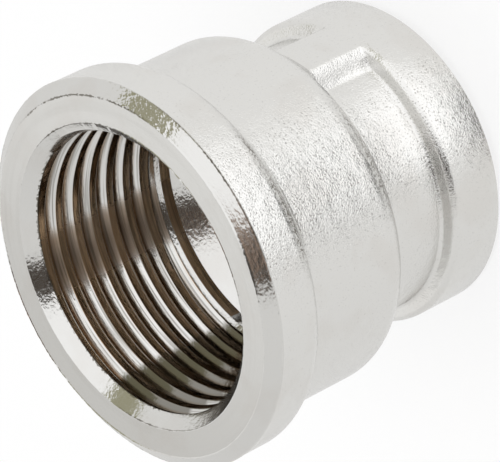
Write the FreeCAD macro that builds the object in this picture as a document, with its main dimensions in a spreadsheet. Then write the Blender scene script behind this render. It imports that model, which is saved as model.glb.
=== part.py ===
"""Reducing coupling for threaded pipe, forged and turned from one piece of brass.

The coupling stands on its small end. The origin is the centre of the small end's flat face, and +Z runs
along the common axis of both bores to the large mouth. The forging's parting plane is the XZ plane, so
the two ribs of the neck lie at +X and -X. All lengths are in millimetres and all angles in degrees.
"""
import FreeCAD, Part
import math
import os
import Sketcher

NODE = "coupling_body"
SHEET = "sizes"
TOLERANCE = 1e-3

# The driving dimensions. A step is how far one wall stands out from the next, measured on the radius, and
# a depth or a length is measured along the axis.
SIZES = {
    # The bores, at the thread crests of the G 1 and G 3/4 parallel pipe threads.
    "large_bore_diameter": 30.291,
    "large_bore_depth": 19.25,
    "large_mouth_step": 1.28,
    "seat_angle": 30.0,
    "small_bore_diameter": 24.117,
    "small_mouth_step": 0.96,
    "mouth_chamfer_angle": 45.0,
    # Outside, from the large end to the small end.
    "overall_length": 36.4,
    "large_bevel_step": 1.45,
    "large_bevel_depth": 1.05,
    "bead_step": 2.0,
    "bead_length": 6.15,
    "bead_rear_round": 2.0,
    "bead_foot_round": 1.0,
    "barrel_wall": 3.65,
    "shoulder_depth": 0.47,
    "shoulder_round": 2.9,
    "flank_angle": 60.0,
    "neck_wall": 2.7,
    "collar_length": 7.1,
    "collar_step": 1.8,
    "collar_wall_draft": 8.0,
    "collar_rim_round": 0.8,
    "small_bevel_step": 1.4,
    "small_bevel_depth": 1.0,
    # The two ribs that the parting plane leaves across the neck.
    "rib_count": 2,
    "rib_width": 5.2,
    "rib_side_spread": 1.1,
    "rib_drop": 0.08,
    "rib_edge_chamfer": 0.3,
    "pocket_floor_round": 0.5,
    # The most that an outside or an inside round takes of the wall beside it.
    "outer_round_share": 0.6,
    "inner_round_share": 0.35,
}

# Sizes that follow from the driving ones. Each outside diameter keeps its wall round the bore inside it,
# each height is above the small end, and no round is larger than the wall beside it carries.
TIED = {
    "large_mouth_diameter": "large_bore_diameter + 2 * large_mouth_step",
    "small_mouth_diameter": "small_bore_diameter + 2 * small_mouth_step",
    "barrel_diameter": "large_bore_diameter + 2 * barrel_wall",
    "bead_diameter": "barrel_diameter + 2 * bead_step",
    "large_face_diameter": "bead_diameter - 2 * large_bevel_step",
    "neck_diameter": "small_bore_diameter + 2 * neck_wall",
    "collar_diameter": "neck_diameter + 2 * collar_step",
    "small_face_diameter": "collar_diameter - 2 * small_bevel_step",
    "rib_top_radius": "min(collar_diameter; barrel_diameter) / 2 - rib_drop",
    "rib_root_width": "rib_width + 2 * rib_side_spread",
    "rib_root_radius": "sqrt(neck_diameter * neck_diameter - rib_root_width * rib_root_width) / 2",
    "large_crest_height": "overall_length - large_mouth_step / tan(mouth_chamfer_angle * 1 deg)",
    "small_crest_height": "small_mouth_step / tan(mouth_chamfer_angle * 1 deg)",
    "seat_top_height": "overall_length - large_bore_depth",
    "seat_step": "(large_bore_diameter - small_bore_diameter) / 2",
    "seat_foot_height": "seat_top_height - seat_step * tan(seat_angle * 1 deg)",
    "bead_front_height": "overall_length - large_bevel_depth",
    "bead_rear_height": "overall_length - bead_length",
    "bead_foot_height": "bead_rear_height - bead_step / tan(flank_angle * 1 deg)",
    "shoulder_height": "seat_top_height - shoulder_depth",
    "flank_step": "(barrel_diameter - neck_diameter) / 2",
    "neck_top_height": "shoulder_height - flank_step / tan(flank_angle * 1 deg)",
    "neck_foot_height": "collar_length + collar_step * tan(collar_wall_draft * 1 deg)",
    "rib_foot_height": "(collar_length + small_bevel_depth) / 2",
    "flank_reach": "1 / (sin(flank_angle * 1 deg) * tan(flank_angle * 0.5 deg))",
    "bead_rear_radius": "min(bead_rear_round; outer_round_share * bead_step * flank_reach)",
    "bead_foot_radius": "min(bead_foot_round; inner_round_share * bead_step * flank_reach)",
    "shoulder_radius": "min(shoulder_round; outer_round_share * flank_step * flank_reach)",
    "shoulder_round_height": "shoulder_height + shoulder_radius * tan(flank_angle * 0.5 deg)",
    "collar_rim_radius": "min(collar_rim_round; outer_round_share * collar_step)",
    "pocket_floor_radius": "min(pocket_floor_round; inner_round_share * collar_step)",
}

# Corners of the forging's outside and of its bores, each with its radius and its height.
OUTSIDE = [
    ("large_axis", "0", "overall_length"),
    ("large_face", "large_face_diameter / 2", "overall_length"),
    ("bead_front", "bead_diameter / 2", "bead_front_height"),
    ("bead_rear", "bead_diameter / 2", "bead_rear_height"),
    ("bead_foot", "barrel_diameter / 2", "bead_foot_height"),
    ("shoulder", "barrel_diameter / 2", "shoulder_height"),
    ("neck_top", "neck_diameter / 2", "neck_top_height"),
    ("neck_foot", "neck_diameter / 2", "neck_foot_height"),
    ("collar_rim", "collar_diameter / 2", "collar_length"),
    ("collar_end", "collar_diameter / 2", "small_bevel_depth"),
    ("small_face", "small_face_diameter / 2", "0"),
    ("small_axis", "0", "0"),
]
BORES = [
    ("large_axis", "0", "overall_length"),
    ("large_mouth", "large_mouth_diameter / 2", "overall_length"),
    ("large_crest", "large_bore_diameter / 2", "large_crest_height"),
    ("seat_top", "large_bore_diameter / 2", "seat_top_height"),
    ("seat_foot", "small_bore_diameter / 2", "seat_foot_height"),
    ("small_crest", "small_bore_diameter / 2", "small_crest_height"),
    ("small_mouth", "small_mouth_diameter / 2", "0"),
    ("small_axis", "0", "0"),
]


def make_sheet(doc):
    """Writes each size into a cell of its own, under its name, and each tied size as its formula."""
    sheet = doc.addObject("Spreadsheet::Sheet", SHEET)
    rows = list(SIZES.items()) + [(name, "=" + formula) for name, formula in TIED.items()]
    for row, (name, value) in enumerate(rows, start=1):
        sheet.set(f"A{row}", name.replace("_", " "))
        sheet.set(f"B{row}", str(value))
        sheet.setAlias(f"B{row}", name)
    doc.recompute()
    return sheet


def bound(size):
    """Expression that reads a size from the sheet; it may be followed by further arithmetic."""
    return f"{SHEET}.{size}"


def new_sketch(body, name, plane_role):
    """Sketch on one of the body's own origin planes."""
    sketch = body.newObject("Sketcher::SketchObject", name)
    plane = next(item for item in body.Origin.OriginFeatures if item.Role == plane_role)
    sketch.AttachmentSupport = [(plane, "")]
    sketch.MapMode = "FlatFace"
    return sketch


def bind_distance(sketch, kind, element, name, size, start=1.0):
    """Ties a distance between points, or a curve's radius, to the sheet; it starts at a rough value."""
    index = sketch.addConstraint(Sketcher.Constraint(kind, *element, start))
    sketch.renameConstraint(index, name)
    sketch.setExpression(f"Constraints.{name}", bound(size))


def add_outline(sketch, corners):
    """Closed outline of straight lines, each corner held at its radius and its height."""
    count = len(corners)
    turn = [2 * math.pi * index / count for index in range(count)]
    loose = [FreeCAD.Vector(20 + 5 * math.cos(angle), 20 + 5 * math.sin(angle), 0) for angle in turn]
    for index in range(count):
        sketch.addGeometry(Part.LineSegment(loose[index], loose[(index + 1) % count]), False)
    for index in range(count):
        sketch.addConstraint(Sketcher.Constraint("Coincident", index, 2, (index + 1) % count, 1))
    for index, (name, radius, height) in enumerate(corners):
        if radius == "0" and height == "0":
            sketch.addConstraint(Sketcher.Constraint("Coincident", index, 1, -1, 1))
            continue
        if radius == "0":
            sketch.addConstraint(Sketcher.Constraint("PointOnObject", index, 1, -2))
        else:
            bind_distance(sketch, "DistanceX", (-1, 1, index, 1), name + "_radius", radius)
        if height == "0":
            sketch.addConstraint(Sketcher.Constraint("PointOnObject", index, 1, -1))
        else:
            bind_distance(sketch, "DistanceY", (-1, 1, index, 1), name + "_height", height)


def turn_section(body, kind, name, corners):
    """Turns a section about the common axis, adding it to the body or cutting it away."""
    sketch = new_sketch(body, name + "_section", "XZ_Plane")
    add_outline(sketch, corners)
    turned = body.newObject(kind, name)
    turned.Profile = sketch
    turned.ReferenceAxis = (sketch, ["V_Axis"])
    turned.Angle = 360.0
    sketch.Visibility = False
    return turned


def rib_sketch(body):
    """Cross-section of one rib: it widens to its root, and its top lies a hair inside the collar."""
    sketch = new_sketch(body, "rib_section", "XY_Plane")
    sketch.setExpression("AttachmentOffset.Base.z", bound("rib_foot_height"))
    top, half, edge = 16.0, SIZES["rib_width"] / 2, SIZES["rib_edge_chamfer"]
    root, root_half = 14.0, half + SIZES["rib_side_spread"]
    spread = (half - edge) / top
    circle = Part.Circle(FreeCAD.Vector(0, 0, 0), FreeCAD.Vector(0, 0, 1), top)
    sketch.addGeometry(Part.ArcOfCircle(circle, -spread, spread), False)
    corners = [(top, half - edge), (top - edge, half), (root, root_half),
               (root, -root_half), (top - edge, -half), (top, edge - half)]
    points = [FreeCAD.Vector(across, along, 0) for across, along in corners]
    for start, end in zip(points, points[1:]):
        sketch.addGeometry(Part.LineSegment(start, end), False)
    sketch.addConstraint(Sketcher.Constraint("Coincident", 0, 3, -1, 1))
    for line in range(6):
        sketch.addConstraint(Sketcher.Constraint("Coincident", line, 2, (line + 1) % 6, 1))
    sketch.addConstraint(Sketcher.Constraint("Vertical", 0, 1, 0, 2))
    for upper, lower in [((2, 1), (4, 2)), ((3, 1), (3, 2))]:
        sketch.addConstraint(Sketcher.Constraint("Symmetric", *upper, *lower, -1))
    bind_distance(sketch, "Radius", (0,), "top_radius", "rib_top_radius", top)
    bind_distance(sketch, "DistanceX", (2, 1, 1, 1), "chamfer_depth", "rib_edge_chamfer", edge)
    bind_distance(sketch, "DistanceY", (1, 1, 2, 1), "chamfer_width", "rib_edge_chamfer", edge)
    bind_distance(sketch, "DistanceY", (4, 2, 2, 1), "top_width", "rib_width", 2 * half)
    bind_distance(sketch, "DistanceY", (3, 2, 3, 1), "root_width", "rib_root_width", 2 * root_half)
    bind_distance(sketch, "DistanceX", (-1, 1, 3, 1), "root_radius", "rib_root_radius", root)
    return sketch


def add_ribs(doc, body):
    """Ribs from inside the collar to inside the barrel, spaced evenly round the neck."""
    sketch = rib_sketch(body)
    rib = body.newObject("PartDesign::Pad", "rib")
    rib.Profile = sketch
    rib.setExpression("Length", f"{bound('shoulder_round_height')} - {bound('rib_foot_height')}")
    sketch.Visibility = False
    doc.recompute()
    ribs = body.newObject("PartDesign::PolarPattern", "ribs")
    ribs.Originals = [rib]
    ribs.Axis = (sketch, ["N_Axis"])
    ribs.Angle = 360.0
    ribs.setExpression("Occurrences", bound("rib_count"))
    body.Tip = ribs
    doc.recompute()
    return ribs


def ring_edges(shape, diameter, height):
    """Names of the circular edges with one diameter at one height."""
    names = []
    for number, edge in enumerate(shape.Edges, start=1):
        if not isinstance(edge.Curve, Part.Circle):
            continue
        same_size = abs(edge.Curve.Radius - diameter / 2) < TOLERANCE
        if same_size and abs(edge.Curve.Center.z - height) < TOLERANCE:
            names.append(f"Edge{number}")
    return names


def rib_root_edges(shape, sheet):
    """Names of the straight edges where the ribs' sides meet the neck."""
    names = []
    for number, edge in enumerate(shape.Edges, start=1):
        middle = edge.CenterOfMass
        on_neck = abs(math.hypot(middle.x, middle.y) - sheet.neck_diameter / 2) < TOLERANCE
        if isinstance(edge.Curve, Part.Line) and on_neck:
            names.append(f"Edge{number}")
    return names


def round_edges(doc, body, base, name, edges, radius):
    """Rounds the named edges of one feature with a radius from the sheet."""
    if not edges:
        raise ValueError(f"{name}: the edges were not found")
    fillet = body.newObject("PartDesign::Fillet", name)
    fillet.Base = (base, edges)
    fillet.setExpression("Radius", bound(radius))
    doc.recompute()
    return fillet


def round_turned_edges(doc, body, sheet, turned):
    """Forged rounds of the bead, the shoulder and the collar's rim."""
    plan = [
        ("bead_rear_edge", sheet.bead_diameter, sheet.bead_rear_height, "bead_rear_radius"),
        ("bead_foot_edge", sheet.barrel_diameter, sheet.bead_foot_height, "bead_foot_radius"),
        ("shoulder_edge", sheet.barrel_diameter, sheet.shoulder_height, "shoulder_radius"),
        ("collar_rim_edge", sheet.collar_diameter, sheet.collar_length, "collar_rim_radius"),
    ]
    feature = turned
    for name, diameter, height, radius in plan:
        edges = ring_edges(feature.Shape, diameter, height)
        feature = round_edges(doc, body, feature, name, edges, radius)
    return feature


def round_pocket_floors(doc, body, sheet, ribs):
    """Rounds where each pocket's floor meets its flank, its collar wall and the sides of the ribs."""
    edges = ring_edges(ribs.Shape, sheet.neck_diameter, sheet.neck_top_height)
    edges += ring_edges(ribs.Shape, sheet.neck_diameter, sheet.neck_foot_height)
    edges += rib_root_edges(ribs.Shape, sheet)
    return round_edges(doc, body, ribs, "pocket_floor_edges", edges, "pocket_floor_radius")


def check(doc, bodies):
    """Stops where any feature failed or any sub-part is not one valid solid."""
    for item in doc.Objects:
        if "Invalid" in item.State or "Error" in item.State:
            raise RuntimeError(f"{item.Name} failed: {item.State}")
    for body in bodies:
        if body.Shape.isNull() or not body.Shape.isValid() or len(body.Shape.Solids) != 1:
            raise RuntimeError(f"{body.Label} is not one valid solid")


def main():
    """Forges the blank with its ribs, turns the bores, and writes the STEP file."""
    doc = FreeCAD.newDocument("reducing_coupling")
    sheet = make_sheet(doc)
    body = doc.addObject("PartDesign::Body", NODE)
    body.Label = NODE
    blank = turn_section(body, "PartDesign::Revolution", "blank", OUTSIDE)
    doc.recompute()
    rounded = round_turned_edges(doc, body, sheet, blank)
    ribs = add_ribs(doc, body)
    if ribs.Shape.Volume <= rounded.Shape.Volume:
        raise RuntimeError("the ribs added nothing to the neck")
    body.Tip = round_pocket_floors(doc, body, sheet, ribs)
    body.Tip = turn_section(body, "PartDesign::Groove", "bores", BORES)
    body.Placement = FreeCAD.Placement()
    doc.recompute()
    check(doc, [body])
    os.makedirs("parts", exist_ok=True)
    body.Shape.exportStep(f"parts/{NODE}.step")
    box = body.Shape.optimalBoundingBox()
    print(f"{NODE}: {body.Shape.Volume:.1f} mm3")
    print(f"{box.XLength:.2f} x {box.YLength:.2f} x {box.ZLength:.2f} mm")


main()
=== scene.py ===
"""Looks of the reducing coupling: forged brass, plated with nickel, blasted outside and turned bright.

The coupling stands on its small end on a pale floor, in the frame of its CAD model: metres, with +Z to the
large mouth.
"""
import logging
import math
from collections.abc import Callable, Iterable
from dataclasses import dataclass, field
from enum import Enum

import bmesh
import bpy
from mathutils import Matrix, Vector


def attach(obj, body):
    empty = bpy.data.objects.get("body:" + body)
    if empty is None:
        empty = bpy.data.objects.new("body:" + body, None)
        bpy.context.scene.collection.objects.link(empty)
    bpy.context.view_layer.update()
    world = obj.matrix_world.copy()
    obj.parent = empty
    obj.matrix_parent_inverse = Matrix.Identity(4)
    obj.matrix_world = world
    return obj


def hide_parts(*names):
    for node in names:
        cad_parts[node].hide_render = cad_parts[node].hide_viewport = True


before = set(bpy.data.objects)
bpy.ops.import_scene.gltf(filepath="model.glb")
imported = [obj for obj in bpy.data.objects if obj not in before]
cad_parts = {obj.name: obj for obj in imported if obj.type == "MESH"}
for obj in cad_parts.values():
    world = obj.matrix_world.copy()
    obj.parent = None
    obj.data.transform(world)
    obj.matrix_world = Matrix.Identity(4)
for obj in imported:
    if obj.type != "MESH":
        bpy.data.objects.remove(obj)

LOG = logging.getLogger("coupling")
MM = 0.001
TOLERANCE = 2e-6
PIECE = "coupling"
BODY = "root"
NODE = "coupling_body"


class Surface(Enum):
    """Which finish a face of the coupling takes; the value is its place among the material slots."""

    BLASTED = 0
    TURNED = 1
    THREADED = 2


class Corner(Enum):
    """Parts of a mesh that a selection can hold, by Blender's names of their select modes."""

    VERTEX = "VERT"
    EDGE = "EDGE"


def deselect_all() -> None:
    """Leaves no object selected, so that an operator acts on new work alone."""
    for item in bpy.context.selected_objects:
        item.select_set(False)


def activate(piece: bpy.types.Object) -> None:
    """Makes one object the only selected and active one.

    Args:
        piece: The object to work on.
    """
    deselect_all()
    piece.select_set(True)
    bpy.context.view_layer.objects.active = piece


def select_where(piece: bpy.types.Object, kind: Corner, test: Callable[..., bool]) -> int:
    """Selects the parts of the mesh in edit mode that pass a test, and nothing else.

    Args:
        piece: The object that is in edit mode.
        kind: Whether vertices or edges are tested.
        test: Says whether one part belongs to the selection.

    Returns:
        How many parts are selected.
    """
    bpy.ops.mesh.select_mode(type=kind.value)
    bpy.ops.mesh.select_all(action="DESELECT")
    mesh = bmesh.from_edit_mesh(piece.data)
    chosen = [part for part in getattr(mesh, f"{kind.value.lower()}s") if test(part)]
    for part in chosen:
        part.select_set(True)
    mesh.select_flush_mode()
    bmesh.update_edit_mesh(piece.data)
    return len(chosen)


def apply_modifier(piece: bpy.types.Object, kind: str, **settings: object) -> None:
    """Adds a modifier, sets it and applies it.

    Args:
        piece: The object that the modifier shapes.
        kind: Blender's name of the modifier type.
        **settings: The modifier's properties.
    """
    activate(piece)
    modifier = piece.modifiers.new(kind.lower(), kind)
    for name, value in settings.items():
        setattr(modifier, name, value)
    bpy.ops.object.modifier_apply(modifier=modifier.name)


def draw_to_radius(piece: bpy.types.Object, radius: float, group: str) -> None:
    """Draws the vertices of a group to one distance from the axis, by their shares."""
    apply_modifier(piece, "CAST", cast_type="CYLINDER", factor=1.0, size=radius, radius=0.0,
                   use_radius_as_size=False, use_z=False, vertex_group=group)


def weigh(piece: bpy.types.Object, name: str, share_of: Callable[[Vector], float]) -> None:
    """Puts the vertices of a mesh into a new vertex group.

    Args:
        piece: The object that has the mesh.
        name: Name of the group.
        share_of: Gives a vertex's share from its place; a vertex with none stays out.
    """
    group = piece.vertex_groups.new(name=name)
    for vertex in piece.data.vertices:
        share = share_of(vertex.co)
        if share:
            group.add([vertex.index], share, "REPLACE")


def ease(climb: float) -> float:
    """Rounds a straight climb off at 0 and 1, beyond which it stays level."""
    climb = min(max(climb, 0.0), 1.0)
    return climb * climb * (3 - 2 * climb)


@dataclass(frozen=True)
class Ring:
    """A turned corner of the section in metres: radius, height above the small end, and its round.

    A sharp corner has a round of 0; the segments are the faces that a round takes.
    """

    name: str
    radius: float
    height: float
    round: float
    segments: int

    def holds(self, place: Vector) -> bool:
        """Says whether a point lies on the ring."""
        return abs(place.z - self.height) < TOLERANCE and abs(place.xy.length - self.radius) < TOLERANCE


@dataclass(frozen=True)
class Thread:
    """An internal pipe thread with rounded crests, which is cut into one bore.

    The groove's middle starts at a height and runs up or down. The turns count all, with those of both fades.
    The flats are the width of the bore that is left between two turns, and that of the groove's floor; a
    crest turns into the flank over crest_round, and the flank's angle is to the plane across the axis. The
    cutter's back lies inward_reach inside the bore.
    """

    name: str
    pitch: float
    crest_radius: float
    start: float
    turns: float
    fade_in: float
    fade_out: float
    upward: bool
    steps_per_turn: int
    crest_flat: float = 0.6 * MM
    root_flat: float = 0.1 * MM
    crest_round: float = 0.3 * MM
    flank_angle: float = math.radians(37)
    inward_reach: float = 0.3 * MM
    round_points: int = 4

    def section(self) -> list[Vector]:
        """Works out the groove's section: back, rounded crest, flank, floor and the same mirrored.

        Returns:
            The corners in the XZ plane, in order.
        """
        slope = 1 / math.tan(self.flank_angle)
        half = (self.pitch - self.crest_flat) / 2
        steps = [self.crest_round * step / self.round_points for step in range(self.round_points + 1)]
        side = [(half - way, slope * way * way / (2 * self.crest_round)) for way in steps]
        floor = self.root_flat / 2
        side.append((floor, side[-1][1] + slope * (half - self.crest_round - floor)))
        side = [(half, -self.inward_reach), *side]
        corners = [(-width, rise) for width, rise in side]
        corners += [(width, rise) for width, rise in reversed(side)]
        return [Vector((self.crest_radius + rise, 0.0, self.start + width)) for width, rise in corners]

    def make_cutter(self) -> bpy.types.Object:
        """Winds the groove's section into a closed helical solid that fades at both ends.

        Returns:
            The cutter's object.
        """
        cutter = self._draw_section()
        count = len(cutter.data.vertices)
        steps = round(self.turns * self.steps_per_turn)
        turns = self.turns if self.upward else -self.turns
        apply_modifier(cutter, "SCREW", axis="Z", angle=math.tau * turns, steps=steps, render_steps=steps,
                       screw_offset=self.pitch * turns, use_smooth_shade=True)
        self._cap_ends(cutter)
        self._fade(cutter, count, steps)
        return cutter

    def _draw_section(self) -> bpy.types.Object:
        """Draws the section corner by corner from one point.

        Returns:
            An object that holds the closed outline.
        """
        corners = self.section()
        deselect_all()
        bpy.ops.mesh.primitive_plane_add(size=self.pitch, location=corners[0])
        cutter = bpy.context.object
        cutter.name = self.name
        bpy.ops.object.transform_apply(location=True, rotation=True, scale=True)
        bpy.ops.object.mode_set(mode="EDIT")
        bpy.ops.mesh.select_all(action="SELECT")
        bpy.ops.mesh.merge(type="CENTER")
        for last, corner in zip(corners, corners[1:]):
            bpy.ops.mesh.extrude_vertices_move(TRANSFORM_OT_translate={"value": corner - last})
        bpy.ops.mesh.select_all(action="SELECT")
        bpy.ops.mesh.edge_face_add()
        bpy.ops.mesh.delete(type="ONLY_FACE")
        bpy.ops.object.mode_set(mode="OBJECT")
        return cutter

    @staticmethod
    def _cap_ends(cutter: bpy.types.Object) -> None:
        """Closes both ends of the helix and turns its faces outwards.

        Args:
            cutter: The wound tube's object.
        """
        activate(cutter)
        bpy.ops.object.mode_set(mode="EDIT")
        select_where(cutter, Corner.EDGE, lambda edge: edge.is_boundary)
        bpy.ops.mesh.fill_holes(sides=0)
        bpy.ops.mesh.select_all(action="SELECT")
        bpy.ops.mesh.normals_make_consistent(inside=False)
        bpy.ops.object.mode_set(mode="OBJECT")

    def _fade(self, cutter: bpy.types.Object, count: int, steps: int) -> None:
        """Draws the groove back into the bore where it starts and where it runs out.

        Args:
            cutter: The capped helix's object.
            count: Vertices of one section.
            steps: Steps along the helix.
        """
        group = cutter.vertex_groups.new(name="fade")
        rise, fall = (turns * self.steps_per_turn for turns in (self.fade_in, self.fade_out))
        for step in range(steps + 1):
            share = 1.0 - min(step / rise, (steps - step) / fall, 1.0)
            if share:
                group.add(list(range(step * count, (step + 1) * count)), share, "REPLACE")
        draw_to_radius(cutter, self.crest_radius - self.inward_reach, "fade")


@dataclass
class CouplingShell:
    """The whole coupling: forged outside, two ribs on the neck, turned bores and both threads.

    The rings are the section's corners, from the mouth down outside and up again inside. Ribs and wear are
    given by the angles that they cover round the axis; bore_facing and inward_facing are how straight a face
    has to look at the axis to count as threaded or turned.
    """

    columns: int = 480
    rib_top: float = 16.4785 * MM
    rib_half_angle: float = math.radians(8.0)
    root_half_angle: float = math.radians(16.5)
    rib_overlap: float = 1.7 * MM
    neck_margin: float = 0.1 * MM
    worn_side: float = math.radians(24)
    worn_half_angle: float = math.radians(55)
    worn_rise: float = 0.30 * MM
    lips: tuple[str, ...] = ("mouth_lip", "face_lip", "bead_lip")
    lip_jitter: float = 0.035 * MM
    bore_facing: float = 0.98
    inward_facing: float = 0.1
    crease: float = math.radians(32)
    threads: tuple[Thread, ...] = (
        Thread("large_thread", pitch=2.309 * MM, crest_radius=15.1455 * MM, start=35.12 * MM, turns=7.0,
               fade_in=0.36, fade_out=0.5, upward=False, steps_per_turn=144),
        Thread("small_thread", pitch=1.814 * MM, crest_radius=12.0585 * MM, start=0.72 * MM, turns=7.2,
               fade_in=0.36, fade_out=0.6, upward=True, steps_per_turn=108, crest_flat=0.4 * MM,
               crest_round=0.25 * MM),
    )
    rings: tuple[Ring, ...] = field(default_factory=lambda: tuple(
        Ring(name, radius * MM, height * MM, size * MM, segments)
        for name, radius, height, size, segments in (
            ("chamfer_start", 16.35, 36.3245, 0.0, 0),
            ("mouth_lip", 16.4255, 36.44, 0.0, 0),
            ("mouth_lip_foot", 16.51, 36.4, 0.0, 0),
            ("face_start", 16.57, 36.4, 0.0, 0),
            ("face_end", 19.20, 36.4, 0.0, 0),
            ("face_lip_foot", 19.26, 36.4, 0.0, 0),
            ("face_lip", 19.36, 36.45, 0.0, 0),
            ("face_lip_end", 19.45, 36.315, 0.0, 0),
            ("bevel_start", 19.51, 36.281, 0.0, 0),
            ("bevel_end", 20.68, 35.434, 0.0, 0),
            ("bead_lip_foot", 20.74, 35.391, 0.0, 0),
            ("bead_lip", 20.85, 35.36, 0.0, 0),
            ("bead_lip_end", 20.7955, 35.26, 0.0, 0),
            ("bead_front", 20.7955, 35.18, 0.0, 0),
            ("bead_rear", 20.7955, 30.25, 2.0, 8),
            ("bead_foot", 18.7955, 29.0953, 1.0, 5),
            ("shoulder", 18.7955, 16.68, 2.9, 10),
            ("neck_top", 14.7585, 14.3492, 0.5, 4),
            ("neck_foot", 14.7585, 7.353, 0.5, 4),
            ("collar_rim", 16.5585, 7.1, 0.8, 6),
            ("collar_end", 16.5585, 1.0, 0.08, 2),
            ("small_face", 15.1585, 0.0, 0.06, 2),
            ("small_mouth", 13.0185, 0.0, 0.05, 2),
            ("small_crest", 12.0585, 0.96, 0.0, 0),
            ("seat_foot", 12.0585, 15.3677, 0.05, 2),
            ("seat_top", 15.1455, 17.15, 0.05, 2),
            ("relief_foot", 15.1455, 18.45, 0.0, 0),
            ("relief_floor", 15.60, 18.95, 0.0, 0),
            ("relief_end", 15.1455, 19.2, 0.0, 0),
            ("large_crest", 15.1455, 35.12, 0.0, 0),
            ("chamfer_turn", 15.55, 35.653, 0.0, 0),
        )))

    def build(self) -> bpy.types.Object:
        """Turns, forges and threads the coupling.

        Returns:
            The finished piece.
        """
        shell = self._turn_section()
        self._round_corners(shell)
        self._raise_ribs(shell)
        self._wear_chamfer(shell)
        self._roughen_lips(shell)
        self._sort_surfaces(shell)
        for thread in self.threads:
            self._cut(shell, thread)
        self._clean(shell)
        return shell

    def ring(self, name: str) -> Ring:
        """Finds a corner of the section by its name."""
        return next(ring for ring in self.rings if ring.name == name)

    def _turn_section(self) -> bpy.types.Object:
        """Draws the closed section ring by ring from one circle.

        Returns:
            The sharp-cornered ring-shaped solid.
        """
        deselect_all()
        last = self.rings[0]
        bpy.ops.mesh.primitive_circle_add(vertices=self.columns, radius=last.radius,
                                          location=(0, 0, last.height))
        shell = bpy.context.object
        shell.name = shell.data.name = PIECE
        bpy.ops.object.transform_apply(location=True, rotation=True, scale=True)
        bpy.ops.object.mode_set(mode="EDIT")
        bpy.ops.mesh.select_all(action="SELECT")
        for ring in self.rings[1:]:
            rise = (0.0, 0.0, ring.height - last.height)
            bpy.ops.mesh.extrude_region_move(TRANSFORM_OT_translate={"value": rise})
            ratio = ring.radius / last.radius
            bpy.ops.transform.resize(value=(ratio, ratio, 1.0), center_override=(0, 0, ring.height))
            last = ring
        select_where(shell, Corner.EDGE, lambda edge: edge.is_boundary)
        bpy.ops.mesh.bridge_edge_loops()
        bpy.ops.mesh.select_all(action="SELECT")
        bpy.ops.mesh.normals_make_consistent(inside=False)
        bpy.ops.object.mode_set(mode="OBJECT")
        return shell

    def _round_corners(self, shell: bpy.types.Object) -> None:
        """Bevels each turned corner to the round that it has.

        Args:
            shell: The sharp-cornered solid.
        """
        activate(shell)
        bpy.ops.object.mode_set(mode="EDIT")
        count = len(self.rings)
        for index, ring in enumerate(self.rings):
            if not ring.round:
                continue
            before, after = self.rings[index - 1], self.rings[(index + 1) % count]
            come = Vector((ring.radius - before.radius, ring.height - before.height))
            leave = Vector((after.radius - ring.radius, after.height - ring.height))
            reach = ring.round * math.tan(come.angle(leave) / 2)
            found = select_where(shell, Corner.EDGE, lambda edge, at=ring: all(
                at.holds(end.co) for end in edge.verts))
            if found != self.columns:
                LOG.warning("corner %s: %d edges", ring.name, found)
            bpy.ops.mesh.bevel(offset=reach, segments=ring.segments, profile=0.5, affect="EDGES")
        bpy.ops.object.mode_set(mode="OBJECT")

    def _raise_ribs(self, shell: bpy.types.Object) -> None:
        """Draws the neck out to the two ribs of the parting plane, with sloped sides.

        Args:
            shell: The rounded solid.
        """
        low = self.ring("collar_end").height
        high = self.ring("shoulder").height + self.rib_overlap
        inner = self.ring("neck_top").radius - self.neck_margin
        weigh(shell, "ribs", lambda place: self._rib_share(place) if (
            low < place.z < high and inner < place.xy.length < self.rib_top) else 0.0)
        draw_to_radius(shell, self.rib_top, "ribs")

    def _rib_share(self, place: Vector) -> float:
        """Says how far a place is drawn out to a rib: 1 on the rib's top, 0 beside its foot."""
        turn = math.atan2(abs(place.y), abs(place.x))
        return ease((self.root_half_angle - turn) / (self.root_half_angle - self.rib_half_angle))

    def _wear_chamfer(self, shell: bpy.types.Object) -> None:
        """Lays the mouth's chamfer a little flatter on the side where it is worn.

        Args:
            shell: The rounded solid.
        """
        corner = self.ring("chamfer_turn")
        weigh(shell, "worn", lambda place: self._wear_share(place) if corner.holds(place) else 0.0)
        apply_modifier(shell, "DISPLACE", direction="Z", mid_level=0.0, strength=self.worn_rise,
                       vertex_group="worn")

    def _wear_share(self, place: Vector) -> float:
        """Says how worn the mouth is at a place: 1 in the middle of the worn side, 0 beside it."""
        away = math.remainder(math.atan2(place.y, place.x) - self.worn_side, math.tau)
        return ease(1.0 - abs(away) / self.worn_half_angle)

    def _roughen_lips(self, shell: bpy.types.Object) -> None:
        """Makes the burrs that the tool left on the turned edges uneven.

        Args:
            shell: The rounded solid.
        """
        activate(shell)
        bpy.ops.object.mode_set(mode="EDIT")
        for seed, name in enumerate(self.lips, 1):
            select_where(shell, Corner.VERTEX, lambda corner, at=self.ring(name): at.holds(corner.co))
            bpy.ops.transform.vertex_random(offset=self.lip_jitter, uniform=0.0, normal=0.0, seed=seed)
        bpy.ops.object.mode_set(mode="OBJECT")

    def _sort_surfaces(self, shell: bpy.types.Object) -> None:
        """Gives each face the place of its finish among the material slots.

        Args:
            shell: The solid before its threads are cut.
        """
        front, rear = self.ring("bead_front").height, self.ring("collar_end").height
        seat = self.ring("seat_top").height
        bore = self.ring("relief_floor").radius + TOLERANCE
        for _ in Surface:
            shell.data.materials.append(None)
        for face in shell.data.polygons:
            reach = face.center.xy.length
            inward = -face.normal.xy.dot(face.center.xy) / reach
            if inward > self.bore_facing and face.center.z > seat:
                surface = Surface.THREADED
            elif inward > self.inward_facing and reach < bore or not rear <= face.center.z <= front:
                surface = Surface.TURNED
            else:
                surface = Surface.BLASTED
            face.material_index = surface.value

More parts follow.
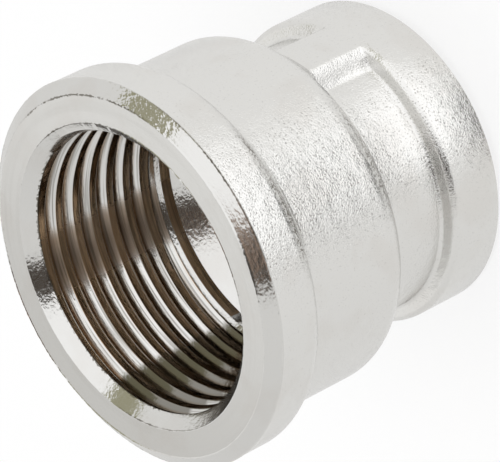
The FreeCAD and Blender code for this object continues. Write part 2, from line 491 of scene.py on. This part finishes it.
    @staticmethod
    def _cut(shell: bpy.types.Object, thread: Thread) -> None:
        """Cuts one thread into its bore.

        Args:
            shell: The solid that is cut.
            thread: The thread to cut.
        """
        cutter = thread.make_cutter()
        for _ in Surface:
            cutter.data.materials.append(None)
        for face in cutter.data.polygons:
            face.material_index = Surface.THREADED.value
        apply_modifier(shell, "BOOLEAN", object=cutter, operation="DIFFERENCE", solver="EXACT",
                       material_mode="INDEX")
        bpy.data.objects.remove(cutter)

    def _clean(self, shell: bpy.types.Object) -> None:
        """Merges what lies on one spot, and shades curved faces smooth between the sharp edges.

        Args:
            shell: The finished solid.
        """
        activate(shell)
        shell.vertex_groups.clear()
        bpy.ops.object.mode_set(mode="EDIT")
        bpy.ops.mesh.select_all(action="SELECT")
        bpy.ops.mesh.remove_doubles(threshold=TOLERANCE)
        bpy.ops.mesh.normals_make_consistent(inside=False)
        loose = select_where(shell, Corner.EDGE, lambda edge: not edge.is_manifold)
        bpy.ops.object.mode_set(mode="OBJECT")
        bpy.ops.object.shade_smooth_by_angle(angle=self.crease)
        triangles = sum(len(face.vertices) - 2 for face in shell.data.polygons)
        LOG.info("%s: %d triangles, %d open edges", shell.name, triangles, loose)


Socket = bpy.types.NodeSocket
Value = Socket | float | tuple[float, ...]
Limits = tuple[float, float]
Colour = tuple[float, float, float, float]
WHITE: Colour = (1.0, 1.0, 1.0, 1.0)
UP = (0.0, 0.0, 1.0)


@dataclass(frozen=True)
class Spot:
    """Where a shaded point lies, in object coordinates, and its way out from the axis."""

    place: Socket
    x: Socket
    y: Socket
    height: Socket
    outward: Socket
    radius: Socket


@dataclass(frozen=True)
class Graph:
    """A node tree that is being wired, with short calls for the nodes that repeat."""

    tree: bpy.types.NodeTree

    def add(self, kind: str, inputs: dict[str | int, Value] | None = None,
            **settings: object) -> bpy.types.Node:
        """Adds a node.

        Args:
            kind: Blender's name of the node type, without its "ShaderNode" start.
            inputs: Constants or sockets for the node's inputs, by name or place.
            **settings: The node's own properties.

        Returns:
            The node.
        """
        node = self.tree.nodes.new(f"ShaderNode{kind}")
        for name, value in settings.items():
            setattr(node, name, value)
        for key, value in (inputs or {}).items():
            self.feed(node.inputs[key], value)
        return node

    def feed(self, socket: Socket, value: Value) -> None:
        """Links a socket to an input, or sets the input's constant.

        Args:
            socket: The input.
            value: What goes into it.
        """
        if isinstance(value, bpy.types.NodeSocket):
            self.tree.links.new(value, socket)
        else:
            socket.default_value = value

    def math(self, operation: str, *values: Value) -> Socket:
        """Combines one, two or three numbers by one of the Math node's operations."""
        return self.add("Math", dict(enumerate(values)), operation=operation).outputs[0]

    def join(self, *parts: Value) -> Socket:
        """Makes a vector of two or three numbers."""
        return self.add("CombineXYZ", dict(enumerate(parts))).outputs[0]

    def length(self, vector: Value) -> Socket:
        """Measures a vector."""
        return self.add("VectorMath", {0: vector}, operation="LENGTH").outputs["Value"]

    def dot(self, first: Value, second: Value) -> Socket:
        """Multiplies two vectors into a number."""
        return self.add("VectorMath", {0: first, 1: second}, operation="DOT_PRODUCT").outputs["Value"]

    def noise(self, place: Value, size: float, **settings: float) -> Socket:
        """Gives noise of a size in metres, with the node's other inputs by name."""
        return self.add("TexNoise", {"Vector": place, "Scale": 1 / size, **settings}).outputs["Fac"]

    def ramp(self, value: Value, low: float, high: float, bottom: float = 0.0, top: float = 1.0) -> Socket:
        """Eases a number from the bottom at the low limit to the top at the high one."""
        limits = {"Value": value, "From Min": low, "From Max": high, "To Min": bottom, "To Max": top}
        return self.add("MapRange", limits, interpolation_type="SMOOTHSTEP").outputs["Result"]

    def blend(self, share: Value, first: Value, second: Value) -> Socket:
        """Mixes two colours.

        Args:
            share: How much of the second colour is taken.
            first: One colour.
            second: The other colour.

        Returns:
            The mixed colour.
        """
        node = self.add("Mix", data_type="RGBA")
        for socket, value in zip((node.inputs[0], node.inputs[6], node.inputs[7]), (share, first, second)):
            self.feed(socket, value)
        return node.outputs[2]

    def spot(self) -> Spot:
        """Reads where the shaded point lies.

        Returns:
            The point.
        """
        place = self.add("TexCoord").outputs["Object"]
        x, y, z = self.add("SeparateXYZ", {0: place}).outputs
        outward = self.join(x, y)
        return Spot(place, x, y, z, outward, self.length(outward))

    def facing(self, spot: Spot, azimuth: float) -> Socket:
        """Gives the cosine between a point's side of the axis and an azimuth."""
        way = self.dot(spot.outward, (math.cos(azimuth), math.sin(azimuth), 0.0))
        return self.math("DIVIDE", way, spot.radius)


@dataclass(frozen=True)
class Effect:
    """A node group with named inputs and outputs, which is made once and used by several finishes.

    The inputs are numbers, the outputs have their socket types, and wire fills the group from its inputs and
    returns what goes out, by name.
    """

    name: str
    inputs: tuple[str, ...]
    outputs: dict[str, str]
    wire: Callable[[Graph, dict[str, Socket]], dict[str, Value]]

    def group(self) -> bpy.types.NodeTree:
        """Makes the group, or finds it when it is there.

        Returns:
            The group's tree.
        """
        tree = bpy.data.node_groups.get(self.name)
        if tree:
            return tree
        tree = bpy.data.node_groups.new(self.name, "ShaderNodeTree")
        for name in self.inputs:
            tree.interface.new_socket(name, in_out="INPUT", socket_type="NodeSocketFloat")
        for name, kind in self.outputs.items():
            tree.interface.new_socket(name, in_out="OUTPUT", socket_type=kind)
        source, sink = tree.nodes.new("NodeGroupInput"), tree.nodes.new("NodeGroupOutput")
        graph = Graph(tree)
        results = self.wire(graph, {name: source.outputs[name] for name in self.inputs})
        for name, value in results.items():
            graph.feed(sink.inputs[name], value)
        return tree

    def place(self, graph: Graph, *values: Value) -> bpy.types.Node:
        """Puts the group into a material, with the inputs in the group's order."""
        return graph.add("Group", dict(zip(self.inputs, values)), node_tree=self.group())


def wire_lathe_space(graph: Graph, given: dict[str, Socket]) -> dict[str, Value]:
    """Turns object coordinates into ones that follow the lathe: across the tool marks and along them.

    Args:
        graph: The group's graph.
        given: Mark Width and Mark Length in metres, and the Radius that the length is measured at.

    Returns:
        A vector and a fourth coordinate for four-dimensional noise.
    """
    spot = graph.spot()
    along = graph.math("DIVIDE", given["Radius"], given["Mark Length"])
    turns = [graph.math("MULTIPLY", graph.math("DIVIDE", part, spot.radius), along)
             for part in (spot.x, spot.y)]
    across = [graph.math("DIVIDE", part, given["Mark Width"]) for part in (spot.radius, spot.height)]
    return {"Vector": graph.join(*across, turns[0]), "W": turns[1]}


LATHE_SPACE = Effect("lathe_space", ("Mark Width", "Mark Length", "Radius"),
                     {"Vector": "NodeSocketVector", "W": "NodeSocketFloat"}, wire_lathe_space)


def lathe_noise(graph: Graph, width: Value, length: Value, radius: float, **settings: float) -> Socket:
    """Gives noise that is drawn out round the axis, like the marks of a tool.

    Args:
        graph: The graph that it is for.
        width: Size of the marks across the turning.
        length: Size of the marks along it.
        radius: Distance from the axis at which that length is true.
        **settings: The noise's other inputs by name.

    Returns:
        The noise.
    """
    space = LATHE_SPACE.place(graph, width, length, radius)
    inputs = {"Vector": space.outputs["Vector"], "W": space.outputs["W"], "Scale": 1.0, **settings}
    return graph.add("TexNoise", inputs, noise_dimensions="4D").outputs["Fac"]


MARKS_RADIUS = 18 * MM
MARKS_ROUGHNESS = 0.6


def wire_tool_marks(graph: Graph, given: dict[str, Socket]) -> dict[str, Value]:
    """Adds long grooves and short chatter marks of the turning tool.

    Args:
        graph: The group's graph.
        given: Depth, Width and Length of the grooves and of the chatter, in metres.

    Returns:
        The height of the surface in metres.
    """
    parts = []
    for mark, detail in (("Groove", 2.0), ("Chatter", 1.0)):
        depth, width, length = (given[f"{mark} {measure}"] for measure in ("Depth", "Width", "Length"))
        marks = lathe_noise(graph, width, length, MARKS_RADIUS, Detail=detail, Roughness=MARKS_ROUGHNESS)
        parts.append(graph.math("MULTIPLY", marks, depth))
    return {"Height": graph.math("ADD", *parts)}


TOOL_MARKS = Effect("tool_marks", ("Groove Depth", "Groove Width", "Groove Length",
                                   "Chatter Depth", "Chatter Width", "Chatter Length"),
                    {"Height": "NodeSocketFloat"}, wire_tool_marks)

# A line of painted shade along a ring: noise that frays it, with the shares of the width between which it
# does; where the line and its reach fade out; and patches of noise, with the shares of strength between which
# they vary.
TEETH_SIZE = 1 / 3200
TEETH = (0.35, 0.7, 0.35, 1.9)
LINE_EDGE = (1.1, 0.5)
REACH_EDGE = (0.0, 0.08)
PATCH_SIZE = 1 / 330
PATCHES = (0.35, 0.6, 0.3, 0.85)


def wire_shade_line(graph: Graph, given: dict[str, Socket]) -> dict[str, Value]:
    """Marks a ragged line of painted shade round one edge.

    Args:
        graph: The group's graph.
        given: Edge Radius and Edge Height, which place the edge, the line's Width, all in metres, the
        direction Toward X and Toward Y of the line, and its Reach, the cosine at which it ends.

    Returns:
        How much of the painted line is seen at a point.
    """
    spot = graph.spot()
    gap = graph.length(graph.join(graph.math("SUBTRACT", spot.radius, given["Edge Radius"]),
                                  graph.math("SUBTRACT", spot.height, given["Edge Height"])))
    teeth = graph.ramp(graph.noise(spot.place, TEETH_SIZE, Detail=2.0), *TEETH)
    width = graph.math("MULTIPLY", given["Width"], teeth)
    line = graph.ramp(graph.math("DIVIDE", gap, width), *LINE_EDGE)
    way = graph.dot(spot.outward, graph.join(given["Toward X"], given["Toward Y"]))
    past = graph.math("SUBTRACT", graph.math("DIVIDE", way, spot.radius), given["Reach"])
    patches = graph.ramp(graph.noise(spot.place, PATCH_SIZE, Detail=2.0), *PATCHES)
    strength = graph.math("MULTIPLY", graph.ramp(past, *REACH_EDGE), patches)
    return {"Mask": graph.math("MULTIPLY", line, strength)}


# Group for lines of painted shade along edges.
SHADE_LINE = Effect("shade_line", ("Edge Radius", "Edge Height", "Width", "Toward X", "Toward Y", "Reach"),
              {"Mask": "NodeSocketFloat"}, wire_shade_line)
ALL_ROUND = -1.1  # lower than every cosine

NICKEL: Colour = (0.70, 0.695, 0.68, 1.0)
CLEAN_NICKEL: Colour = (0.84, 0.835, 0.82, 1.0)
BROWN: Colour = (0.37, 0.25, 0.15, 1.0)
# Dark colour toward which painted shade, painted dark reflections and dark tool marks blend.
SOIL_AND_SHADE: Colour = (0.10, 0.085, 0.06, 1.0)
CLOUD_SIZE = 1 / 170
CLOUD = (0.3, 0.7, -1.0, 1.0)
WARMTH_DRIFT = 0.06
GLOSS_DRIFT = 0.015


def wire_plating(graph: Graph, given: dict[str, Socket]) -> dict[str, Value]:
    """Lets the plating's colour and gloss drift a little from place to place.

    Args:
        graph: The group's graph.
        given: Warmth, from grey nickel to brown, Shade, which blends in painted shade and dark marks, Silver,
        which whitens clean nickel, and Gloss, the mean roughness.

    Returns:
        The colour and the roughness.
    """
    place = graph.add("TexCoord").outputs["Object"]
    drift = graph.ramp(graph.noise(place, CLOUD_SIZE, Detail=3.0, Roughness=0.55), *CLOUD)
    warmth = graph.math("MULTIPLY_ADD", drift, WARMTH_DRIFT, given["Warmth"])
    metal = graph.blend(warmth, graph.blend(given["Silver"], NICKEL, CLEAN_NICKEL), BROWN)
    return {"Colour": graph.blend(given["Shade"], metal, SOIL_AND_SHADE),
            "Roughness": graph.math("MULTIPLY_ADD", drift, GLOSS_DRIFT, given["Gloss"])}


PLATING = Effect("plating", ("Warmth", "Shade", "Silver", "Gloss"),
                 {"Colour": "NodeSocketColor", "Roughness": "NodeSocketFloat"}, wire_plating)


@dataclass(frozen=True)
class Relief:
    """What a finish adds to smooth metal: height in metres, warmth, darkness from painted shade and marks,
    roughness.
    """

    height: Socket
    warmth: Value = 0.0
    shade: Value = 0.0
    rough: Value = 0.0


@dataclass(frozen=True)
class ShadeLine:
    """A line of painted shade or painted dark reflection specks on a ring: radius, height and width in
    millimetres, and the azimuth of its middle and half of the angle that it covers in degrees, where 180 is
    all round.
    """

    radius: float
    height: float
    width: float
    toward: float
    spread: float

    def mask(self, graph: Graph) -> Socket:
        """Places the painted line's group in a material.

        Args:
            graph: The material's graph.

        Returns:
            How much of the painted line is seen.
        """
        toward, spread = math.radians(self.toward), math.radians(self.spread)
        reach = math.cos(spread) if spread < math.pi else ALL_ROUND
        sizes = (size * MM for size in (self.radius, self.height, self.width))
        return SHADE_LINE.place(graph, *sizes, math.cos(toward), math.sin(toward), reach).outputs["Mask"]


@dataclass(frozen=True)
class Side:
    """A side of the coupling that differs: its azimuth, the cosines where it begins, and how much."""

    toward: float
    reach: Limits
    amount: float = 1.0

    def mask(self, graph: Graph, spot: Spot) -> Socket:
        """Says how much a point belongs to the side."""
        return graph.ramp(graph.facing(spot, self.toward), *self.reach, 0.0, self.amount)


@dataclass(frozen=True)
class Streaks:
    """Dark streaks of the tool: width, length, the radius where that is true, noise limits and darkness."""

    width: float
    length: float
    radius: float
    begin: Limits
    shade: float

    def mask(self, graph: Graph) -> Socket:
        """Says how dark the streaks are at a point."""
        noise = lathe_noise(graph, self.width, self.length, self.radius, Detail=2.0)
        return graph.ramp(noise, *self.begin, 0.0, self.shade)


@dataclass(frozen=True)
class NickelFinish:
    """One finish of the plated brass.

    Gloss is the mean roughness, brushing is how much wider reflections spread across the tool marks than
    along them, brushing_turn lays the wide side across, and silver is how white the clean nickel is.
    """

    name: str
    gloss: float
    brushing: float = 0.0
    brushing_turn: float = 0.25
    silver: float = 0.0

    def make(self) -> bpy.types.Material:
        """Builds the material's nodes.

        Returns:
            The material.
        """
        material = bpy.data.materials.new(self.name)
        material.use_nodes = True
        graph = Graph(material.node_tree)
        shader = material.node_tree.nodes["Principled BSDF"]
        shader.inputs["Metallic"].default_value = 1.0
        relief = self.relief(graph)
        rough = graph.math("ADD", relief.rough, self.gloss)
        plating = PLATING.place(graph, relief.warmth, relief.shade, self.silver, rough)
        graph.feed(shader.inputs["Base Color"], plating.outputs["Colour"])
        graph.feed(shader.inputs["Roughness"], plating.outputs["Roughness"])
        bump = graph.add("Bump", {"Height": relief.height, "Distance": 1.0, "Strength": 1.0})
        graph.feed(shader.inputs["Normal"], bump.outputs["Normal"])
        if self.brushing:
            shader.inputs["Anisotropic"].default_value = self.brushing
            shader.inputs["Anisotropic Rotation"].default_value = self.brushing_turn
            round_axis = graph.add("Tangent", direction_type="RADIAL", axis="Z")
            graph.feed(shader.inputs["Tangent"], round_axis.outputs[0])
        return material

    def relief(self, graph: Graph) -> Relief:
        """Gives the fine relief of the surface and the tones that go with it."""
        raise NotImplementedError


@dataclass(frozen=True)
class BlastedFinish(NickelFinish):
    """The forged skin, blasted before it was plated.

    Grain and wave are the size and depth of the blast marks and of the forging's slow unevenness. Painted
    shade begins between two levels of noise: in the grain's hollows everywhere, with its darkness; as dark
    reflection specks on the side where the highlight lies; and as dark reflection specks on the rounded
    edges.
    """

    grain: Limits = (0.2 * MM, 0.05 * MM)
    wave: Limits = (1.4 * MM, 0.06 * MM)
    # Painted shade in the grain's hollows, where less light falls: noise limits, then darkness.
    pit_shade: tuple[float, float, float, float] = (0.40, 0.22, 0.0, 0.2)
    # Painted dark reflection specks on the side where the highlight lies.
    side_specks: Side = Side(math.radians(-46), (0.90, 0.97), 0.5)
    side_speck_noise: Limits = (0.40, 0.33)
    # Painted dark reflection specks along the rounded edges at the bead's rear and at the shoulder.
    edge_specks: tuple[ShadeLine, ...] = (ShadeLine(20.50, 30.50, 0.40, -48, 27), ShadeLine(18.45, 17.05, 0.40, -47, 25))
    edge_speck_noise: Limits = (0.57, 0.49)

    def relief(self, graph: Graph) -> Relief:
        """Gives pitted grain over a slow wave, with painted shade and painted dark reflection specks.

        Args:
            graph: The material's graph.

        Returns:
            The relief.
        """
        spot = graph.spot()
        (grain_size, grain_depth), (wave_size, wave_depth) = self.grain, self.wave
        grain = graph.noise(spot.place, grain_size, Detail=2.0, Roughness=0.6)
        slow = graph.math("MULTIPLY", graph.noise(spot.place, wave_size, Detail=1.0), wave_depth)
        height = graph.math("MULTIPLY_ADD", grain, grain_depth, slow)
        # Painted dark reflection specks on one side, and painted shade in the grain's hollows everywhere.
        side_specks = graph.math("MULTIPLY", self.side_specks.mask(graph, spot), graph.ramp(grain, *self.side_speck_noise))
        shade = graph.math("MAXIMUM", graph.ramp(grain, *self.pit_shade), side_specks)
        # Painted dark reflection specks along the rounded edges.
        speck_pattern = graph.ramp(grain, *self.edge_speck_noise)
        for edge_speck in self.edge_specks:
            shade = graph.math("MAXIMUM", shade, graph.math("MULTIPLY", edge_speck.mask(graph), speck_pattern))
        return Relief(height, shade=shade)


@dataclass(frozen=True)
class TurnedFinish(NickelFinish):
    """Metal as the lathe left it, with grooves round the axis.

    Groove and chatter are the depth, width and length of the long and of the short marks, which are deeper
    by the factor scuff where the bevels are scuffed. The face shade is painted shade that darkens one side of
    the face, where less light falls: the distances that way between which it grows, and how dark it gets. The
    slopes are the upward parts of the normal between which scuffs and face begin.
    """

    groove: tuple[float, float, float] = (0.012 * MM, 0.16 * MM, 12 * MM)
    chatter: tuple[float, float, float] = (0.03 * MM, 0.3 * MM, 0.5 * MM)
    # Painted shade along the burred edges, standing in for the shadows of their lips, each on the sides it
    # covers.
    burr_shadows: tuple[ShadeLine, ...] = (ShadeLine(19.36, 36.40, 0.10, 24, 34), ShadeLine(16.40, 36.38, 0.10, 26, 30),
                               ShadeLine(16.40, 36.38, 0.08, -168, 22), ShadeLine(20.80, 35.36, 0.10, -33, 28),
                               ShadeLine(15.17, 35.08, 0.15, 0, 180))
    scuffed: Side = Side(math.radians(-6), (0.965, 0.985))
    scuff_slope: Limits = (0.97, 0.93)
    scuff: float = 3.0
    # Painted shade on one side of the face, where less light falls, with faint concentric streaks.
    face_shade_toward: float = math.radians(-188)
    face_shade: tuple[float, float, float, float] = (-19 * MM, 19 * MM, 0.0, 0.24)
    face_slope: Limits = (0.97, 0.99)
    face_streaks: Streaks = Streaks(0.9 * MM, 20 * MM, 18 * MM, (0.45, 0.75), 0.06)

    def relief(self, graph: Graph) -> Relief:
        """Gives the marks of the tool, painted shade on one side of the face and along the burred edges.

        Args:
            graph: The material's graph.

        Returns:
            The relief.
        """
        spot = graph.spot()
        level = graph.dot(graph.add("NewGeometry").outputs["Normal"], UP)
        scuffs = graph.math("MULTIPLY", self.scuffed.mask(graph, spot), graph.ramp(level, *self.scuff_slope))
        deeper = graph.math("MULTIPLY_ADD", scuffs, self.scuff - 1.0, 1.0)
        marks = [size for depth, *sizes in (self.groove, self.chatter)
                 for size in (graph.math("MULTIPLY", deeper, depth), *sizes)]
        shade = self._face_shade(graph, spot, level)
        # Painted shade along the burred edges.
        for shade_line in self.burr_shadows:
            shade = graph.math("MAXIMUM", shade, shade_line.mask(graph))
        return Relief(TOOL_MARKS.place(graph, *marks).outputs["Height"], shade=shade)

    def _face_shade(self, graph: Graph, spot: Spot, level: Socket) -> Socket:
        """Paints shade on one side of the large end's flat face, with faint concentric streaks.

        Args:
            graph: The material's graph.
            spot: The shaded point.
            level: The upward part of its normal.

        Returns:
            How dark the painted shade and the streaks are.
        """
        # Painted shade toward one side, plus the concentric streaks.
        way = graph.dot(spot.place, (math.cos(self.face_shade_toward), math.sin(self.face_shade_toward), 0.0))
        face_shade = graph.math("ADD", graph.ramp(way, *self.face_shade), self.face_streaks.mask(graph))
        return graph.math("MULTIPLY", face_shade, graph.ramp(level, *self.face_slope))


@dataclass(frozen=True)
class ThreadedFinish(TurnedFinish):
    """A turned thread, browner and darker on crests, toward roots and at the bottom.

    The radii of the crests are those in the small bore and in the large one, which meet at step_height. The
    depths below the crests are those between which the colour browns toward the roots, and those between
    which the crests' brown begins. The large bore is brown at its bottom; on one side it takes painted shade
    for a dark reflection, and on another a painted brown reflection with more roughness.
    """

    chatter: tuple[float, float, float] = (0.01 * MM, 0.3 * MM, 0.5 * MM)
    crest_radii: Limits = (12.0585 * MM, 15.1455 * MM)
    root_brown_depth: Limits = (0.35 * MM, 0.85 * MM)
    crest_depth: Limits = (0.06 * MM, 0.02 * MM)
    step_height: float = 16.5 * MM
    bottom: Limits = (19.6 * MM, 18.4 * MM)
    # Painted shade standing in for a dark reflection on one side of the large bore.
    dark_reflection_side: Side = Side(math.radians(184), (0.935, 0.955), 0.72)
    # Painted brown reflection on another side of the large bore, where it is also rougher.
    brown_reflection_side: Side = Side(math.radians(113.5), (0.965, 0.992))
    brown_reflection_warmth: float = 0.75
    brown_reflection_rough: float = 0.26
    streaks: Streaks = Streaks(0.22 * MM, 12 * MM, 15 * MM, (0.42, 0.68), 0.55)

    def relief(self, graph: Graph) -> Relief:
        """Gives the tool marks, brown on crests, in roots and low down, and painted reflections on two sides.

        Args:
            graph: The material's graph.

        Returns:
            The relief.
        """
        marks = super().relief(graph)
        spot = graph.spot()
        small, large = self.crest_radii
        upper = graph.math("GREATER_THAN", spot.height, self.step_height)
        depth = graph.math("SUBTRACT", spot.radius, graph.math("MULTIPLY_ADD", upper, large - small, small))
        low = graph.math("MULTIPLY", upper, graph.ramp(spot.height, *self.bottom))
        # Painted brown reflection on one side, which is also rougher.
        tan = self.brown_reflection_side.mask(graph, spot)
        # Brown toward the roots, on the crests, low in the large bore and in all of the small bore.
        warmth = graph.ramp(depth, *self.root_brown_depth)
        for brown in (graph.ramp(depth, *self.crest_depth), low, graph.math("SUBTRACT", 1.0, upper),
                      graph.math("MULTIPLY", tan, self.brown_reflection_warmth)):
            warmth = graph.math("MAXIMUM", warmth, brown)
        shade = marks.shade
        # Tool streaks, and painted shade for a dark reflection on one side.
        for dark in (self.streaks.mask(graph), self.dark_reflection_side.mask(graph, spot)):
            shade = graph.math("MAXIMUM", shade, dark)
        return Relief(marks.height, warmth, shade, graph.math("MULTIPLY", tan, self.brown_reflection_rough))


@dataclass
class Studio:
    """Floor, soft light and the camera at the photograph's viewing angle.

    The metal reflects a grey-white tent that a card brightens, one tall lamp window with straight sides,
    the gaps beside it and the dark strip under it. A direction is told by its upward part, the rise, and by
    how far it lies inside the window's right and left side. Two limits tell where a thing begins and where
    it is whole.
    """

    eye: Vector = field(default_factory=lambda: Vector((282.8, -321.4, 331.1)) * MM)
    right: Vector = field(default_factory=lambda: Vector((0.01351, -0.68937, -0.72429)))
    up: Vector = field(default_factory=lambda: Vector((0.84386, 0.39645, -0.36159)))
    lens: float = 377.4
    sensor: float = 36.0
    clip: Limits = (0.01, 10.0)
    floor_size: float = 3.0
    floor_white: Colour = (0.985, 0.985, 0.985, 1.0)
    footprint: float = 13.2 * MM
    shadow_share: float = 0.22
    overhead_power: float = 3.0
    right_side: tuple[float, float, float] = (0.933, 0.361, -0.095)
    left_side: tuple[float, float, float] = (0.145, -0.925, 0.350)
    window_edge: Limits = (-0.01, 0.02)
    window_foot: float = -0.75
    foot_edge: float = 0.02
    window_top: float = 1.2
    window_low: float = 1.36
    upper_rise: Limits = (-0.25, 0.1)
    strip_foot: float = -0.985
    strip_edge: float = 0.03
    strip: Colour = (0.03, 0.028, 0.025, 1.0)
    tent: float = 0.88
    tent_drift: float = 0.07
    tent_tint: Limits = (0.995, 0.98)
    card: tuple[float, float, float] = (-0.524, 0.593, 0.611)
    card_reach: Limits = (0.8, 0.97)
    card_light: float = 0.12
    right_gap: Colour = (0.07, 0.058, 0.048, 1.0)
    right_gap_top: Colour = (0.36, 0.26, 0.20, 1.0)
    gap_top_rise: Limits = (0.935, 0.985)
    left_gap: Colour = (0.40, 0.385, 0.27, 1.0)
    gap_growth: float = 0.34
    right_gap_width: float = 0.03
    left_gap_width: float = 0.02
    gap_outer: Limits = (-0.02, 0.02)
    gap_inner: Limits = (0.01, -0.01)
    gap_other: Limits = (-0.25, -0.1)

    def build(self) -> None:
        """Sets up everything that isn't the coupling."""
        bpy.context.scene.view_settings.view_transform = "Standard"
        self._add_camera()
        self._add_floor()
        self._add_world()

    def _add_camera(self) -> None:
        """Places the camera."""
        data = bpy.data.cameras.new("camera")
        data.lens, data.sensor_width = self.lens, self.sensor
        data.clip_start, data.clip_end = self.clip
        camera = bpy.data.objects.new("camera", data)
        back = self.right.cross(self.up)
        turn = Matrix((self.right, self.up, back)).transposed()
        camera.matrix_world = Matrix.Translation(self.eye) @ turn.to_4x4()
        bpy.context.scene.collection.objects.link(camera)
        bpy.context.scene.camera = camera

    def _add_floor(self) -> None:
        """Lays the white floor; the metal sees it under the coupling, and the tent beyond."""
        deselect_all()
        bpy.ops.mesh.primitive_plane_add(size=self.floor_size)
        floor = bpy.context.object
        floor.name = "floor"
        material = bpy.data.materials.new("white_floor")
        material.use_nodes = True
        graph = Graph(material.node_tree)
        shader = material.node_tree.nodes["Principled BSDF"]
        shader.inputs["Base Color"].default_value = self.floor_white
        shader.inputs["Roughness"].default_value = 1.0
        shader.inputs["Specular IOR Level"].default_value = 0.0
        away = graph.length(graph.add("TexCoord").outputs["Object"])
        outside = graph.math("GREATER_THAN", away, self.footprint)
        path = graph.add("LightPath")
        mirrored = graph.math("MULTIPLY", outside, path.outputs["Is Glossy Ray"])
        clear = graph.add("BsdfTransparent")
        white = graph.add("Emission", {"Color": WHITE, "Strength": 1.0})
        plain = graph.math("MULTIPLY", path.outputs["Is Camera Ray"], 1 - self.shadow_share)
        lit = graph.add("MixShader", {0: plain, 1: shader.outputs[0], 2: white.outputs[0]})
        mix = graph.add("MixShader", {0: mirrored, 1: lit.outputs[0], 2: clear.outputs[0]})
        graph.feed(material.node_tree.nodes["Material Output"].inputs["Surface"], mix.outputs[0])
        floor.data.materials.append(material)

    def _add_world(self) -> None:
        """Lights the floor from overhead and gives the metal its studio to reflect."""
        world = bpy.data.worlds.new("studio")
        world.use_nodes = True
        world.cycles.sampling_method = "NONE"
        graph = Graph(world.node_tree)
        path = graph.add("LightPath")
        way = graph.add("TexCoord").outputs["Generated"]
        rise = graph.add("SeparateXYZ", {0: way}).outputs[2]
        closeness = graph.math("POWER", graph.math("MAXIMUM", rise, 0.0), self.overhead_power)
        overhead = graph.math("MULTIPLY", closeness, (self.overhead_power + 2) / 2)
        seen = graph.blend(path.outputs["Is Diffuse Ray"], WHITE, overhead)
        mirrored = graph.math("MAXIMUM", path.outputs["Is Glossy Ray"], path.outputs["Is Transmission Ray"])
        colour = graph.blend(mirrored, seen, self._studio_glow(graph, way, rise))
        graph.feed(world.node_tree.nodes["Background"].inputs["Color"], colour)
        bpy.context.scene.world = world

    def _studio_glow(self, graph: Graph, way: Socket, rise: Socket) -> Socket:
        """Paints tent, gaps, strip and lamp window over the directions that the metal reflects.

        Args:
            graph: The world's graph.
            way: The direction.
            rise: Its upward part.

        Returns:
            The colour of the light from there.
        """
        right, left = graph.dot(way, self.right_side), graph.dot(way, self.left_side)
        upper = graph.ramp(rise, *self.upper_rise)
        glow = self._tent_glow(graph, way)
        right_colour = graph.blend(graph.ramp(rise, *self.gap_top_rise), self.right_gap, self.right_gap_top)
        for edge, other, width, colour in ((right, left, self.right_gap_width, right_colour),
                                           (left, right, self.left_gap_width, self.left_gap)):
            reach = graph.math("MULTIPLY_ADD", upper, -self.gap_growth, -width)
            gap = graph.ramp(graph.math("SUBTRACT", edge, reach), *self.gap_outer)
            for share in (graph.ramp(edge, *self.gap_inner), graph.ramp(other, *self.gap_other)):
                gap = graph.math("MULTIPLY", gap, share)
            glow = graph.blend(gap, glow, colour)
        window = graph.math("MULTIPLY", *(graph.ramp(side, *self.window_edge) for side in (right, left)))
        level = graph.math("MULTIPLY_ADD", upper, self.window_top - self.window_low, self.window_low)
        white = graph.add("CombineColor", {0: level, 1: level, 2: level}).outputs[0]
        for low, high, colour in (
                (self.strip_foot, self.strip_foot + self.strip_edge, self.strip),
                (self.window_foot - self.foot_edge, self.window_foot + self.foot_edge, white)):
            window = graph.math("MULTIPLY", window, graph.ramp(rise, low, high))
            glow = graph.blend(window, glow, colour)
        return glow

    def _tent_glow(self, graph: Graph, way: Socket) -> Socket:
        """Gives the light of the tent, which the card brightens, for a direction.

        Args:
            graph: The world's graph.
            way: The direction.

        Returns:
            The colour of the light.
        """
        tent = graph.math("MULTIPLY_ADD", graph.dot(way, (1.0, 0.0, 0.0)), self.tent_drift, self.tent)
        card = graph.ramp(graph.dot(way, self.card), *self.card_reach, 0.0, self.card_light)
        red = graph.math("ADD", tent, card)
        green, blue = (graph.math("MULTIPLY", red, share) for share in self.tent_tint)
        return graph.add("CombineColor", {0: red, 1: green, 2: blue}).outputs[0]


def dress(shell: bpy.types.Object, finishes: Iterable[NickelFinish]) -> None:
    """Fills the coupling's material slots with the finishes, in order."""
    for index, finish in enumerate(finishes):
        shell.data.materials[index] = finish.make()


def main() -> None:
    """Builds the coupling and its studio, and writes how large the model is."""
    logging.basicConfig(level=logging.INFO, format="%(name)s: %(message)s")
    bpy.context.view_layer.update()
    shell = CouplingShell().build()
    dress(shell, (
        BlastedFinish("blasted_nickel", gloss=0.11, silver=0.5),
        TurnedFinish("turned_nickel", gloss=0.18, brushing=0.7),
        ThreadedFinish("threaded_nickel", gloss=0.12, brushing=0.5),
    ))
    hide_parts(NODE)
    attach(shell, BODY)
    Studio().build()


if __name__ == "__main__":
    main()
